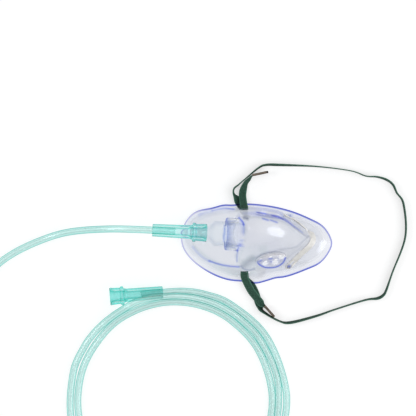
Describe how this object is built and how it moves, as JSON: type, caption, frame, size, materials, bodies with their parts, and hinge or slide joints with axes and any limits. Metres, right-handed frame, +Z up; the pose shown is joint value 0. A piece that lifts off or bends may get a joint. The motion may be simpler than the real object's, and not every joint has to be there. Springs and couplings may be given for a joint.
{
  "type": "oxygen face mask",
  "caption": "Adult clear oxygen face mask with nose clip, inlet adapter, coiled supply tubing with soft connectors, and an elastic head strap.",
  "frame": {"origin": "on the table that the mask's rim lies on, at the middle of the mask without its tubing and strap", "axes": "+X towards the nose end of the mask, +Y across it, +Z up out of the table"},
  "size_m": [0.4, 0.3142, 0.0487],
  "materials": {
    "clear_pvc": "clear, glossy",
    "clear_rigid": "clear, glossy",
    "teal_soft": "translucent, satin",
    "pale_teal_tube": "clear, glossy",
    "aluminium": "satin",
    "green_elastic": "woven",
    "tip_metal": "satin"
  },
  "bodies": {
    "root": {"mask_body": "clear_pvc", "nose_clip": "aluminium", "inlet_adapter": "clear_rigid", "mask_connector": "teal_soft", "supply_tube": "pale_teal_tube", "tube_coil": "pale_teal_tube", "source_connector": "teal_soft", "head_strap": "green_elastic", "strap_tip_upper": "tip_metal", "strap_tip_lower": "tip_metal"}
  },
  "joints": []
}
